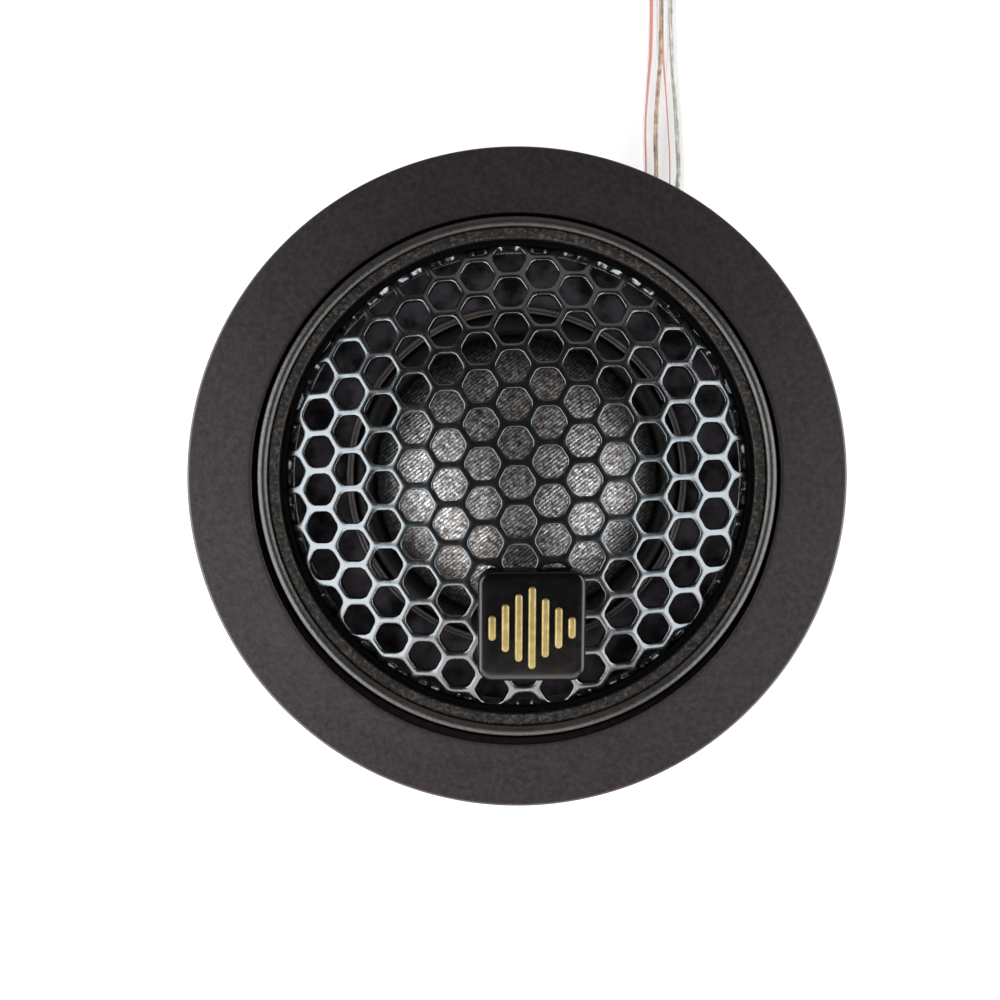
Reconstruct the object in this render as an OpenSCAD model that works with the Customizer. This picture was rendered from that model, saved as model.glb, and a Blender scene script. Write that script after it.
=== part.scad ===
// Flush-mount 25 mm silk-dome car tweeter, lying on its back with the dome facing up (+Z).
// The origin is on the sound axis, at the back face of the rear housing.

/* [Flush cup] */
// Outer diameter of the mounting flange
flange_d = 58; // [56:0.5:62]
// Thickness of the mounting flange
flange_t = 1.8; // [1.5:0.1:2.2]
// Height of the flange's front face above the back of the housing
flange_top = 20; // [19.8:0.1:20.4]
// How far the flange's face falls from its bore to its outer edge
flange_fall = 0.5; // [0.1:0.1:0.8]
// Outer diameter of the skirt that passes through the panel
skirt_d = 49; // [49:0.1:49.6]

/* [Tweeter body] */
// Outer diameter of the tweeter body and its bezel
body_d = 45.6; // [45.4:0.1:45.8]
// Outer diameter of the rear housing behind the shoulder
rear_d = 42.4; // [41.8:0.1:42.4]
// Thickness of the housing's back wall
back_t = 1.6; // [1.4:0.1:1.8]
// How far the tweeter turns in the cup to unlock, in degrees
unlock_turn = 20; // [16:1:24]

/* [Grille] */
// Radius of the grille's spherical face
grille_r = 41; // [40:0.5:43]
// Height of the grille's crown above the back of the housing
grille_top = 24.4; // [24.2:0.1:25]
// Thickness of the grille sheet
grille_t = 0.6; // [0.5:0.1:0.7]
// Distance between neighbouring holes
hole_pitch = 3.44; // [3.3:0.02:3.6]
// Width of the web between two holes
web_w = 0.66; // [0.45:0.01:0.75]
// Turn of the hole pattern about the sound axis, in degrees
pattern_turn = 2; // [0:1:10]

/* [Dome and motor] */
// Diameter of the dome
dome_d = 25; // [25:0.1:25.2]
// Rise of the dome above its edge
dome_rise = 6; // [5:0.25:6.5]
// Diameter of the magnet
magnet_d = 22.4; // [20:0.2:23]
// Outer diameter of the yoke cup
yoke_d = 32; // [31:0.5:32]

/* [Badge] */
// Width of the badge
badge_w = 9.4; // [8:0.2:10]
// Length of the badge along the slope of the grille
badge_l = 10.1; // [8:0.1:10.4]

/* [Lead] */
// Width of the flat twin lead
lead_w = 3.8; // [3.4:0.1:4]
// Radius of the coil at the middle of its turns
coil_r = 19.5; // [19:0.5:21]

/* [Hidden] */
$fn = 96;
EPS = 0.01;

// Flush cup
flange_r = flange_d / 2;
skirt_r = skirt_d / 2;
cup_bore_r = body_d / 2 + 0.3;
cup_bottom = 8;
lip_r = rear_d / 2 + 0.3;
lip_t = 1.2;
flange_bottom = flange_top - flange_t;
edge_r = 0.2;
relief_from = 211;
relief_to = 344;
relief_depth = 0.4;
lug_angles = [90, 210, 330];
lug_half = 4.5;
lug_low = 10.2;
lug_high = 11.8;
lug_tip_r = 21.9;
gasket_t = 1;
nut_bottom = 9;
nut_h = 4;
nut_clearance = 0.3;
nut_r = 27.4;
nut_ribs = 12;
nut_gap = 0.05;
rib_w = 1.6;
rib_h = 0.8;
washer_t = 0.6;
key_angle = 150;
key_w = 2;
key_depth = 0.6;
key_play = 0.2;

// Tweeter body
body_r = body_d / 2;
rear_r = rear_d / 2;
rear_chamfer = 0.6;
cavity_r = 19.8;
shoulder_z = cup_bottom + lip_t + 0.2;
plate_z = 13.6;
plate_t = 2;
plate_top = plate_z + plate_t;
plate_r = 21.3;
collar_h = 2;
collar_t = 1.3;
tinsel_slot_w = 1.2;
housing_top = 16;
groove_r = 21.6;
groove_slack = 1;
groove_low = lug_low - 0.2;
groove_high = lug_high + 0.2;

// Screws
screw_angles = [0, 120, 240];
screw_at = 18.1;
screw_seat = 2.2;
screw_end = 13.2;
screw_core_r = 0.85;
screw_head_r = 1.75;
screw_head_z = 0.8;
screw_hole_r = 1;
head_hole_r = 1.95;
post_r = 1.8;
post_foot_r = 2.6;
post_foot_h = 2.2;
post_top = 11.4;
boss_r = 1.6;
recess_l = 2.2;
recess_w = 0.5;

// Bezel
bezel_inner_r = 20.9;
bezel_band_z = flange_top + 0.15;
bezel_band_w = 0.95;
bead_r = 0.4;
bead_at = body_r - bead_r;

// Grille
hole_af = hole_pitch - web_w;
grille_centre = grille_top - grille_r;
rim_r = 20.35;
shoulder_r = 0.8;
shoulder_at = rim_r - shoulder_r;
// Angle from the axis at which the spherical face meets the shoulder's arc
rim_angle = asin(shoulder_at / (grille_r - shoulder_r));
shoulder_height = grille_centre + (grille_r - shoulder_r) * cos(rim_angle);
foot_t = 0.6;
foot_r = 21.2;
pattern_offset = [0, -0.6];
last_hole = 18.9;
rings = 8;

// Badge
badge_at = [1.26, -12.9];
badge_t = 1;
badge_corner_r = 1.3;
badge_bevel = 0.3;
// Heights of the seven bars of the sound-wave sign, as shares of the tallest
bar_heights = [0.3, 0.58, 0.82, 1, 0.72, 0.5, 0.26];
bar_w = 0.66;
bar_pitch = 1.16;
bar_tallest = 7.6;
bar_t = 0.25;

// Motor
seat_z = 15;
dome_r = dome_d / 2;
dome_base = 15.3;
dome_t = 0.3;
dome_sphere = (dome_r * dome_r + dome_rise * dome_rise) / (2 * dome_rise);
dome_centre = dome_base + dome_rise - dome_sphere;
former_t = 0.2;
former_bottom = 10.2;
winding_bottom = 10.6;
winding_top = 14;
coil_t = 0.4;
gap_r = dome_r + 0.7;
pad_r = 9;
pad_t = 1.6;
felt_r = 7.5;
yoke_bottom = 5;
yoke_floor = 7.6;
yoke_edge = 0.6;
magnet_top = 11.2;
pole_top = 13.4;
roll_at = dome_r + 1;
roll_r = 0.95;
ring_in = 14.5;
ring_out = 15.1;
bore_r = 14.4;
eyelet_at = 18.3;
eyelet_spread = 13;
eyelet_r = 0.8;

// Lead and its terminals
exit_angle = 60;
exit_z = 3.6;
grommet_w = 5.4;
grommet_h = 3.2;
grommet_in = 18.6;
grommet_out = 23.2;
board_x = [8.5, 15.5];
board_z = 2;
board_t = 0.8;
board_w = 10;
rail_y = 3.6;
rail_w = 0.8;
tab_y = 2.4;
wire_d = 0.7;
// Radial position, from the axis, of the end of the lead inside the housing
lead_start = 15.8;
core_spread = lead_w / 4;
coil_centre = [13.5 - coil_r - lead_w / 2, 68.5];
coil_w = 7.8;
coil_h = 4.2;
coil_chamfer = 1.2;
tip_l = 5;
tip_d = 0.8;
// The lead's route from the terminals to the coil, and from the coil to its stripped end
lead_route = [
    [7.9, 13.7, 3.6], [9.3, 16.1, 3.6], [11.6, 20.1, 3.6], [12.9, 22.8, 3.2], [13.5, 25.8, 2.4],
    [13.6, 29.2, 1.5], [13.5, 33, 1], [13.5, 42, 0.95], [13.5, 51, 0.95], [13.5, 62, 0.95],
];
tail_route = [
    [-8, 89.9, 2.8], [-10.5, 90, 2.85], [-13, 90.4, 2.85], [-15.5, 91.2, 2.6],
    [-18, 92, 1.8], [-20.5, 92.8, 1.15], [-23.5, 93.7, 0.95],
];

// ---- shared shapes ----

// A flat ring between two radii, from one height to another
module tube(inner, outer, low, high) {
    translate([0, 0, low]) difference() {
        cylinder(r = outer, h = high - low);
        translate([0, 0, -1]) cylinder(r = inner, h = high - low + 2);
    }
}

// A block of ring between two angles
module arc_block(inner, outer, from, to, low, high) {
    rotate([0, 0, from]) rotate_extrude(angle = to - from)
        translate([inner, low]) square([outer - inner, high - low]);
}

// A slot with round ends, w wide and h high, extruded along +X
module slot_x(w, h, from, to) {
    translate([from, 0, 0]) rotate([90, 0, 90]) linear_extrude(to - from) {
        square([w - h, h], center = true);
        for (side = [-1, 1]) translate([side * (w - h) / 2, 0]) circle(d = h);
    }
}

function unit(v) = v / norm(v);

// Catmull-Rom point between b and c
function spline(a, b, c, d, t) =
    0.5 * (2 * b + (c - a) * t + (2 * a - 5 * b + 4 * c - d) * t * t
        + (3 * b - a - 3 * c + d) * t * t * t);

function smooth(route, steps) = [
    for (i = [0:len(route) - 2], k = [0:steps - 1])
        spline(route[max(i - 1, 0)], route[i], route[i + 1],
            route[min(i + 2, len(route) - 1)], k / steps),
    route[len(route) - 1],
];

// A closed tube swept along a route: w wide across the floor, h high
module swept(route, w, h, sides = 8) {
    n = len(route);
    points = [
        for (i = [0:n - 1])
            let (
                along = unit(route[min(i + 1, n - 1)] - route[max(i - 1, 0)]),
                upright = abs(along.z) > 0.9,
                across = unit(cross(along, upright ? [1, 0, 0] : [0, 0, 1])),
                over = cross(across, along)
            )
            for (k = [0:sides - 1])
                let (a = 360 * (k + 0.5) / sides)
                route[i] + across * cos(a) * w / 2 + over * sin(a) * h / 2
    ];
    walls = [
        for (i = [0:n - 2], k = [0:sides - 1])
            let (m = (k + 1) % sides)
            [i * sides + k, (i + 1) * sides + k, (i + 1) * sides + m, i * sides + m]
    ];
    ends = [[for (k = [0:sides - 1]) k], [for (k = [sides - 1:-1:0]) (n - 1) * sides + k]];
    polyhedron(points, concat(walls, ends), convexity = 6);
}

// Carries a shape drawn about +X at the axis to the side where the lead comes out
module at_exit(turn = 0) {
    rotate([0, 0, exit_angle + turn]) children();
}

// ---- tweeter body ----

module rear_housing() {
    color("dimgray") {
        difference() {
            rotate_extrude() polygon([
                [0, 0], [rear_r - rear_chamfer, 0], [rear_r, rear_chamfer], [rear_r, shoulder_z],
                [body_r, shoulder_z], [body_r, housing_top], [0, housing_top],
            ]);
            translate([0, 0, back_t]) cylinder(r = cavity_r, h = housing_top);
            translate([0, 0, plate_z]) cylinder(r = plate_r + 0.1, h = housing_top);
            for (a = lug_angles) twist_groove(a);
            at_exit() translate([0, 0, exit_z]) slot_x(grommet_w, grommet_h, cavity_r - 1, rear_r + 1);
            for (a = screw_angles) screw_hole(a);
        }
        for (a = screw_angles) difference() {
            screw_post(a);
            screw_hole(a);
        }
        at_exit() for (side = [-1, 1])
            translate([board_x[0] + 0.5, side * rail_y - rail_w / 2, back_t - EPS])
                cube([board_x[1] - board_x[0] - 1, rail_w, board_z - back_t + EPS]);
    }
}

// The L-shaped groove that a lug of the flush cup runs in
module twist_groove(a) {
    half = lug_half + groove_slack;
    arc_block(groove_r, body_r + 1, a - unlock_turn - half, a + half, groove_low, groove_high);
    arc_block(groove_r, body_r + 1, a - unlock_turn - half, a - unlock_turn + half,
        shoulder_z - 1, groove_high);
}

module screw_post(a) {
    rotate([0, 0, a]) translate([screw_at, 0, back_t - EPS]) {
        cylinder(r = post_r, h = post_top - back_t + EPS, $fn = 32);
        cylinder(r = post_foot_r, h = post_foot_h, $fn = 32);
    }
}

module screw_hole(a) {
    rotate([0, 0, a]) translate([screw_at, 0, -1]) {
        cylinder(r = screw_hole_r, h = post_top + 2, $fn = 32);
        cylinder(r = head_hole_r, h = screw_seat + 1, $fn = 32);
    }
}

module faceplate() {
    color("#3d3a40") difference() {
        union() {
            translate([0, 0, plate_z]) cylinder(r = plate_r, h = plate_t);
            translate([0, 0, plate_z - collar_h])
                cylinder(r = yoke_d / 2 + collar_t, h = collar_h + EPS);
            for (a = screw_angles) rotate([0, 0, a]) translate([screw_at, 0, post_top])
                cylinder(r = boss_r, h = plate_z - post_top + EPS, $fn = 32);
        }
        translate([0, 0, plate_z - 3]) cylinder(r = yoke_d / 2 + 0.05, h = 3);
        cylinder(r = bore_r, h = 30);
        translate([0, 0, seat_z]) cylinder(r = ring_out + 0.05, h = 5);
        for (a = screw_angles) rotate([0, 0, a]) translate([screw_at, 0, post_top - 1])
            cylinder(r = screw_core_r + 0.05, h = 4.2, $fn = 32);
        for (side = [-1, 1]) at_exit(side * eyelet_spread) {
            translate([bore_r - 1, -tinsel_slot_w / 2, plate_z - EPS])
                cube([eyelet_at - bore_r + 1, tinsel_slot_w, 1]);
            translate([eyelet_at, 0, plate_z - 1]) cylinder(r = eyelet_r, h = 2, $fn = 24);
        }
    }
}

module front_bezel() {
    color("#34312f") rotate_extrude() difference() {
        union() {
            translate([bezel_inner_r, housing_top])
                square([body_r - bezel_inner_r, flange_top - housing_top]);
            translate([bezel_inner_r, flange_top - 1])
                square([bezel_band_w, bezel_band_z - flange_top + 1]);
            translate([bead_at, flange_top + bead_r / 2]) circle(r = bead_r);
        }
        translate([0, housing_top - 1]) square([foot_r + 0.15, 1 + foot_t - (housing_top - plate_top)]);
    }
}

module housing_screws() {
    color("#8d8f92") for (a = screw_angles) rotate([0, 0, a]) translate([screw_at, 0, 0]) {
        translate([0, 0, screw_seat - EPS])
            cylinder(r = screw_core_r, h = screw_end - screw_seat + EPS, $fn = 24);
        difference() {
            translate([0, 0, screw_head_z])
                cylinder(r = screw_head_r, h = screw_seat - screw_head_z, $fn = 32);
            for (turn = [0, 90]) rotate([0, 0, turn])
                translate([-recess_l / 2, -recess_w / 2, 0]) cube([recess_l, recess_w, 1.5]);
        }
    }
}

// ---- grille and badge ----

// The grille's section: spherical face, rounded shoulder, skirt and foot
module grille_section() {
    intersection() {
        translate([0, grille_centre]) difference() {
            circle(r = grille_r, $fn = 360);
            circle(r = grille_r - grille_t, $fn = 360);
        }
        translate([0, grille_centre]) polygon([
            [0, 0], [0, grille_r + 1],
            [(grille_r + 1) * tan(rim_angle), grille_r + 1],
        ]);
    }
    translate([shoulder_at, shoulder_height]) intersection() {
        difference() {
            circle(r = shoulder_r, $fn = 64);
            circle(r = shoulder_r - grille_t, $fn = 64);
        }
        polygon([[0, 0], [2 * sin(rim_angle), 2 * cos(rim_angle)], [2, 2], [2, 0]]);
    }
    translate([rim_r - grille_t, plate_top]) square([grille_t, shoulder_height - plate_top + EPS]);
    translate([rim_r - grille_t, plate_top]) square([foot_r - rim_r + grille_t, foot_t]);
}

// Centres of the holes, laid out on the flat sheet before it is domed
function hole_centres() = [
    for (i = [-rings:rings], k = [-rings:rings])
        let (
            flat_x = i * hole_pitch * cos(30),
            flat_y = (k + i / 2) * hole_pitch,
            x = flat_x * cos(pattern_turn) - flat_y * sin(pattern_turn) + pattern_offset.x,
            y = flat_x * sin(pattern_turn) + flat_y * cos(pattern_turn) + pattern_offset.y
        )
        if (norm([x, y]) < last_hole) [x, y]
];

module grille() {
    color("#8a9092") difference() {
        rotate_extrude($fn = 180) grille_section();
        for (c = hole_centres()) {
            tilt = norm(c) / grille_r * 180 / PI;
            around = atan2(c.y, c.x);
            translate([0, 0, grille_centre]) rotate([0, 0, around]) rotate([0, tilt, 0])
                translate([0, 0, grille_r - 2]) rotate([0, 0, pattern_turn - around])
                    cylinder(r = hole_af / 2 / cos(30), h = 4, $fn = 6);
        }
    }
}

// Moves a shape drawn flat on z = 0 to the badge's place on the dome of the grille
module on_grille() {
    around = atan2(badge_at.y, badge_at.x);
    translate([0, 0, grille_centre]) rotate([0, 0, around])
        rotate([0, asin(norm(badge_at) / grille_r), 0]) translate([0, 0, grille_r])
            rotate([0, 0, -around]) children();
}

module rounded_plate(w, l, r, low, high) {
    translate([0, 0, low]) linear_extrude(high - low) {
        square([w - 2 * r, l], center = true);
        square([w, l - 2 * r], center = true);
        for (x = [-1, 1], y = [-1, 1])
            translate([x * (w / 2 - r), y * (l / 2 - r)]) circle(r = r, $fn = 48);
    }
}

module badge_plate() {
    color("#101012") difference() {
        on_grille() union() {
            rounded_plate(badge_w, badge_l, badge_corner_r, -1.2, badge_t - badge_bevel);
            rounded_plate(badge_w - 2 * badge_bevel, badge_l - 2 * badge_bevel,
                badge_corner_r - badge_bevel, 0, badge_t);
        }
        translate([0, 0, grille_centre]) sphere(r = grille_r + 0.02, $fn = 120);
    }
}

module badge_emblem() {
    color("#c2a75a") on_grille() translate([0, 0, badge_t]) linear_extrude(bar_t)
        for (i = [0:len(bar_heights) - 1]) {
            half = bar_heights[i] * bar_tallest / 2 - bar_w / 2;
            translate([(i - 3) * bar_pitch, 0]) {
                square([bar_w, 2 * half], center = true);
                for (side = [-1, 1]) translate([0, side * half]) circle(d = bar_w, $fn = 24);
            }
        }
}

// ---- diaphragm and motor ----

module dome() {
    color("#9fa0a3") rotate_extrude() intersection() {
        translate([0, dome_centre]) difference() {
            circle(r = dome_sphere, $fn = 180);
            circle(r = dome_sphere - dome_t, $fn = 180);
        }
        translate([0, dome_base]) square([dome_r + 1, dome_rise + 1]);
    }
}

module surround() {
    color("#262529") rotate_extrude() {
        intersection() {
            translate([roll_at, seat_z]) difference() {
                circle(r = roll_r, $fn = 48);
                circle(r = roll_r - dome_t, $fn = 48);
            }
            translate([roll_at - 2, seat_z]) square([4, 2]);
        }
        translate([roll_at + roll_r - 0.2, seat_z]) square([ring_out - roll_at - roll_r + 0.2, dome_t]);
    }
}

module surround_ring() {
    color("#5c5a5e") tube(ring_in, ring_out, seat_z + dome_t, seat_z + 1);
}

module coil_former() {
    color("#c9c4b4") tube(dome_r - former_t, dome_r, former_bottom, dome_base);
}

module voice_coil() {
    color("#b5673a") tube(dome_r, dome_r + coil_t, winding_bottom, winding_top);
}

// The two braided leads that flex between the moving coil and the fixed eyelets
module tinsel_leads() {
    route = [
        [12.95, 0, 14.2], [13.8, 0, 14.4], [15, 0, 14.2], [16.3, 0, 14.1],
        [eyelet_at - eyelet_r, 0, 14.1],
    ];
    color("#b98a56") for (side = [-1, 1]) at_exit(side * eyelet_spread) swept(route, 0.5, 0.5);
}

module pole_plate() {
    color("#9b9ea1") translate([0, 0, magnet_top]) cylinder(r = dome_r - 0.5, h = pole_top - magnet_top);
}

module magnet() {
    color("#b9bcc0") translate([0, 0, yoke_floor]) cylinder(d = magnet_d, h = magnet_top - yoke_floor);
}

module yoke_cup() {
    color("#8f9295") translate([0, 0, yoke_bottom]) difference() {
        union() {
            cylinder(r1 = yoke_d / 2 - yoke_edge, r2 = yoke_d / 2, h = yoke_edge);
            translate([0, 0, yoke_edge - EPS])
                cylinder(d = yoke_d, h = plate_z - yoke_bottom - yoke_edge + EPS);
        }
        translate([0, 0, yoke_floor - yoke_bottom]) cylinder(r = gap_r, h = 10);
    }
}

module dome_damping_pad() {
    color("#d8d2c0") translate([0, 0, pole_top]) cylinder(r = pad_r, h = pad_t);
}

module rear_felt_pad() {
    color("#55524e") translate([0, 0, back_t]) cylinder(r = felt_r, h = yoke_bottom - back_t);
}

// ---- terminals and lead ----

module terminal_board() {
    color("#2f6b46") at_exit() translate([board_x[0], -board_w / 2, board_z])
        cube([board_x[1] - board_x[0], board_w, board_t]);
}

// A flat foot on the board with an upright tab that the wires are soldered to
module solder_terminal(side) {
    top = board_z + board_t;
    at_exit() translate([0, side * tab_y, 0]) {
        translate([9.5, -1, top]) cube([4, 2, 0.4]);
        translate([12.7, -1, top + 0.4 - EPS]) cube([0.8, 2, 1.2]);
    }
}

module positive_terminal() {
    color("#c9b26b") solder_terminal(1);
}

module negative_terminal() {
    color("#c4c7ca") solder_terminal(-1);
}

module lead_eyelets() {
    color("#c9b26b") for (side = [-1, 1]) at_exit(side * eyelet_spread) translate([eyelet_at, 0, 0]) {
        translate([0, 0, plate_z - 0.4]) cylinder(r = 1, h = 0.4, $fn = 24);
        translate([0, 0, plate_z - EPS]) cylinder(r = eyelet_r, h = 1 + EPS, $fn = 24);
    }
}

// The wires from the eyelets down past the yoke to the terminals
module hookup_wires() {
    color("#7a1f1c") for (side = [-1, 1]) at_exit()
        swept(smooth([
            [17.8, side * 4.1, plate_z - 0.4], [17.8, side * 4.1, 9], [17.8, side * 4.1, 5.6],
            [16.6, side * 4.1, 4.1], [14.6, side * 4, 3.8], [13.1, side * (tab_y + 1.05), 3.8],
        ], 2), wire_d, wire_d);
}

// The lead's own two cores, from its jacket's end to the terminals
module lead_cores() {
    color("#b5673a") for (side = [-1, 1]) at_exit()
        swept([
            [lead_start, side * core_spread, exit_z], [15, side * 1.2, exit_z + 0.1],
            [14.2, side * 2, exit_z + 0.1], [13.5, side * tab_y, exit_z + 0.1],
        ], wire_d, wire_d);
}

module lead_grommet() {
    color("#1d1d1f") at_exit() translate([0, 0, exit_z]) difference() {
        union() {
            slot_x(grommet_w, grommet_h, grommet_in, grommet_out);
            slot_x(grommet_w + 1.6, grommet_h + 1.6, rear_r + 0.1, rear_r + 1.1);
        }
        slot_x(lead_w, lead_w / 2, grommet_in - 1, grommet_out + 1);
    }
}

module lead_tube() {
    color("#d9cfc6") swept(smooth(lead_route, 3), lead_w, lead_w / 2);
}

module lead_coil() {
    inner = coil_r - coil_w / 2;
    outer = coil_r + coil_w / 2;
    color("#d9cfc6") translate([coil_centre.x, coil_centre.y, 0]) rotate_extrude() polygon([
        [inner + coil_chamfer, 0], [outer - coil_chamfer, 0], [outer, coil_chamfer],
        [outer, coil_h - coil_chamfer], [outer - coil_chamfer, coil_h],
        [inner + coil_chamfer, coil_h], [inner, coil_h - coil_chamfer], [inner, coil_chamfer],
    ]);
}

module lead_tail() {
    color("#d9cfc6") swept(smooth(tail_route, 2), lead_w, lead_w / 2);
}

module stripped_ends() {
    end = tail_route[len(tail_route) - 1];
    along = unit(end - tail_route[len(tail_route) - 2]);
    across = cross(along, [0, 0, 1]);
    color("#c8cacc") for (side = [-1, 1])
        swept([for (d = [0, tip_l / 2, tip_l]) end + along * d + across * side * core_spread],
            tip_d, tip_d);
}

// ---- flush cup and its fastening ----

module flush_cup() {
    face_edge = flange_top - flange_fall;
    color("#3a3738") {
        difference() {
            rotate_extrude() {
                polygon([
                    [cup_bore_r, flange_bottom], [flange_r - edge_r, flange_bottom],
                    [flange_r, flange_bottom + edge_r], [flange_r, face_edge - edge_r],
                    [flange_r - edge_r, face_edge], [cup_bore_r, flange_top],
                ]);
                for (z = [flange_bottom + edge_r, face_edge - edge_r])
                    translate([flange_r - edge_r, z]) circle(r = edge_r, $fn = 32);
                translate([cup_bore_r, cup_bottom])
                    square([skirt_r - cup_bore_r, flange_bottom - cup_bottom + EPS]);
                translate([lip_r, cup_bottom]) square([skirt_r - lip_r, lip_t]);
            }
            arc_block(cup_bore_r - 1, cup_bore_r + relief_depth,
                relief_from, relief_to, flange_bottom, flange_top + 1);
            rotate([0, 0, key_angle]) translate([skirt_r - key_depth, -key_w / 2, cup_bottom - 1])
                cube([2, key_w, flange_bottom - gasket_t - cup_bottom + 1]);
        }
        for (a = lug_angles)
            arc_block(lug_tip_r, cup_bore_r + 0.2, a - lug_half, a + lug_half, lug_low, lug_high);
    }
}

module mount_gasket() {
    color("#1a1a1b") tube(skirt_r + 0.2, flange_r - 0.5, flange_bottom - gasket_t, flange_bottom);
}

module slip_washer() {
    low = nut_bottom + nut_h;
    color("#e3e0d6") {
        tube(skirt_r + nut_clearance, nut_r, low, low + washer_t);
        rotate([0, 0, key_angle])
            translate([skirt_r - key_depth / 2, key_play - key_w / 2, low])
                cube([key_depth + nut_clearance, key_w - 2 * key_play, washer_t]);
    }
}

module lock_nut() {
    high = nut_bottom + nut_h - nut_gap;
    color("#242325") {
        tube(skirt_r + nut_clearance, nut_r, nut_bottom, high);
        for (i = [0:nut_ribs - 1]) rotate([0, 0, i * 360 / nut_ribs])
            translate([nut_r - 0.5, -rib_w / 2, nut_bottom])
                cube([0.5 + rib_h, rib_w, high - nut_bottom]);
    }
}

rear_housing();
faceplate();
front_bezel();
grille();
badge_plate();
badge_emblem();
dome();
surround();
surround_ring();
coil_former();
voice_coil();
tinsel_leads();
pole_plate();
magnet();
yoke_cup();
dome_damping_pad();
rear_felt_pad();
terminal_board();
positive_terminal();
negative_terminal();
lead_eyelets();
hookup_wires();
lead_cores();
housing_screws();
lead_grommet();
lead_tube();
lead_coil();
lead_tail();
stripped_ends();
flush_cup();
mount_gasket();
slip_washer();
lock_nut();
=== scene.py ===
"""The looks of the flush-mount tweeter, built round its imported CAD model.

Everything is in metres in the row frame: +Z is the sound axis, the tweeter lies on its back on z = 0,
and its lead leaves towards +Y. Sizes below are in millimetres, times MM.
"""
import math

import bmesh
import bpy
from mathutils import Matrix, Vector


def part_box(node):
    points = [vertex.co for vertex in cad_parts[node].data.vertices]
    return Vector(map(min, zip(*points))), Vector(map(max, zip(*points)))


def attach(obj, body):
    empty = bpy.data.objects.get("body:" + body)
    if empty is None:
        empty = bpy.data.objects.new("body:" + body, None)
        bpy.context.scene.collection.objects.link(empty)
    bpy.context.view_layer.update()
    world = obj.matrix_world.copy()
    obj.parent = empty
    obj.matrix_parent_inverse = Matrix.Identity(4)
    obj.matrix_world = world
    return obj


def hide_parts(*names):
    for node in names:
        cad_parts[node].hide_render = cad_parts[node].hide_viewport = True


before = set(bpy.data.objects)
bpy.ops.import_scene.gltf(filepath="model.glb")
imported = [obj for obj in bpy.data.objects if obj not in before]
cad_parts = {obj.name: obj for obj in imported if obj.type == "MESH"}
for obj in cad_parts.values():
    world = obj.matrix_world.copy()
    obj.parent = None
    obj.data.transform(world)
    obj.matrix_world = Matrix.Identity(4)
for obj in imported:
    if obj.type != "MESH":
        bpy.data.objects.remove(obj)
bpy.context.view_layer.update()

MM = 0.001
TAU = 2 * math.pi

# ---- places read from the frame ----

FLANGE_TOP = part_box("flush_cup")[1].z
FLANGE_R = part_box("flush_cup")[1].x
CUP_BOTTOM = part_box("flush_cup")[0].z
BODY_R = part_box("front_bezel")[1].x
BEZEL_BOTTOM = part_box("front_bezel")[0].z
GRILLE_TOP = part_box("grille")[1].z
GRILLE_FOOT_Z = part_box("grille")[0].z
GRILLE_FOOT_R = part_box("grille")[1].x
DOME_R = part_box("dome")[1].x
DOME_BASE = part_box("dome")[0].z
DOME_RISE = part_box("dome")[1].z - DOME_BASE
SEAT_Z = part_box("surround")[0].z
RING_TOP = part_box("surround_ring")[1].z
RING_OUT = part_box("surround_ring")[1].x
GASKET_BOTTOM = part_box("mount_gasket")[0].z
NUT_LOW, NUT_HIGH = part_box("lock_nut")[0].z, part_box("lock_nut")[1].z


# ---- camera ----

FLANGE_SHARE = 0.3304


def add_camera():
    """Looks straight down the sound axis, with the flange a little right of and above the picture's centre.

    The flange's radius takes up FLANGE_SHARE of the picture's width.
    """
    view_width = FLANGE_R / FLANGE_SHARE
    distance = 0.36
    sensor = 36.0
    data = bpy.data.cameras.new("camera")
    data.sensor_width = sensor
    data.lens = sensor * distance / view_width
    data.clip_start = 0.01
    camera = bpy.data.objects.new("camera", data)
    camera.location = (-1.5 * MM, -2.11 * MM, FLANGE_TOP + distance)
    bpy.context.collection.objects.link(camera)
    bpy.context.scene.camera = camera


# ---- mesh helpers ----

def add_mesh(name, points, faces, smooth=True):
    mesh = bpy.data.meshes.new(name)
    mesh.from_pydata([tuple(p) for p in points], [], faces)
    mesh.validate()
    piece = bpy.data.objects.new(name, mesh)
    bpy.context.collection.objects.link(piece)
    clean = bmesh.new()
    clean.from_mesh(mesh)
    bmesh.ops.recalc_face_normals(clean, faces=clean.faces)
    clean.to_mesh(mesh)
    clean.free()
    if smooth:
        mesh.shade_smooth()
    return piece


def finish_piece(piece, body, slot, material, *stands_for):
    piece.data.materials.clear()
    piece.data.materials.append(material)
    if stands_for:
        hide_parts(*stands_for)
    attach(piece, body)
    return piece


def arc(centre_r, centre_z, radius, start, end, steps):
    """Points (r, z) of an arc, with angles in degrees from the outward radial direction."""
    angles = [math.radians(start + (end - start) * i / steps) for i in range(steps + 1)]
    return [(centre_r + radius * math.cos(a), centre_z + radius * math.sin(a)) for a in angles]


def revolve(name, section, segments=256, shape=None):
    """A closed section of (r, z) points turned about the sound axis. shape(r, z, angle) may move points."""
    points = []
    for i in range(segments):
        angle = TAU * i / segments
        for r, z in section:
            if shape:
                r, z = shape(r, z, angle)
            points.append((r * math.cos(angle), r * math.sin(angle), z))
    count = len(section)
    faces = []
    for i in range(segments):
        for k in range(count):
            a, b = i * count, (i + 1) % segments * count
            faces.append((a + k, b + k, b + (k + 1) % count, a + (k + 1) % count))
    return add_mesh(name, points, faces)


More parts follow.
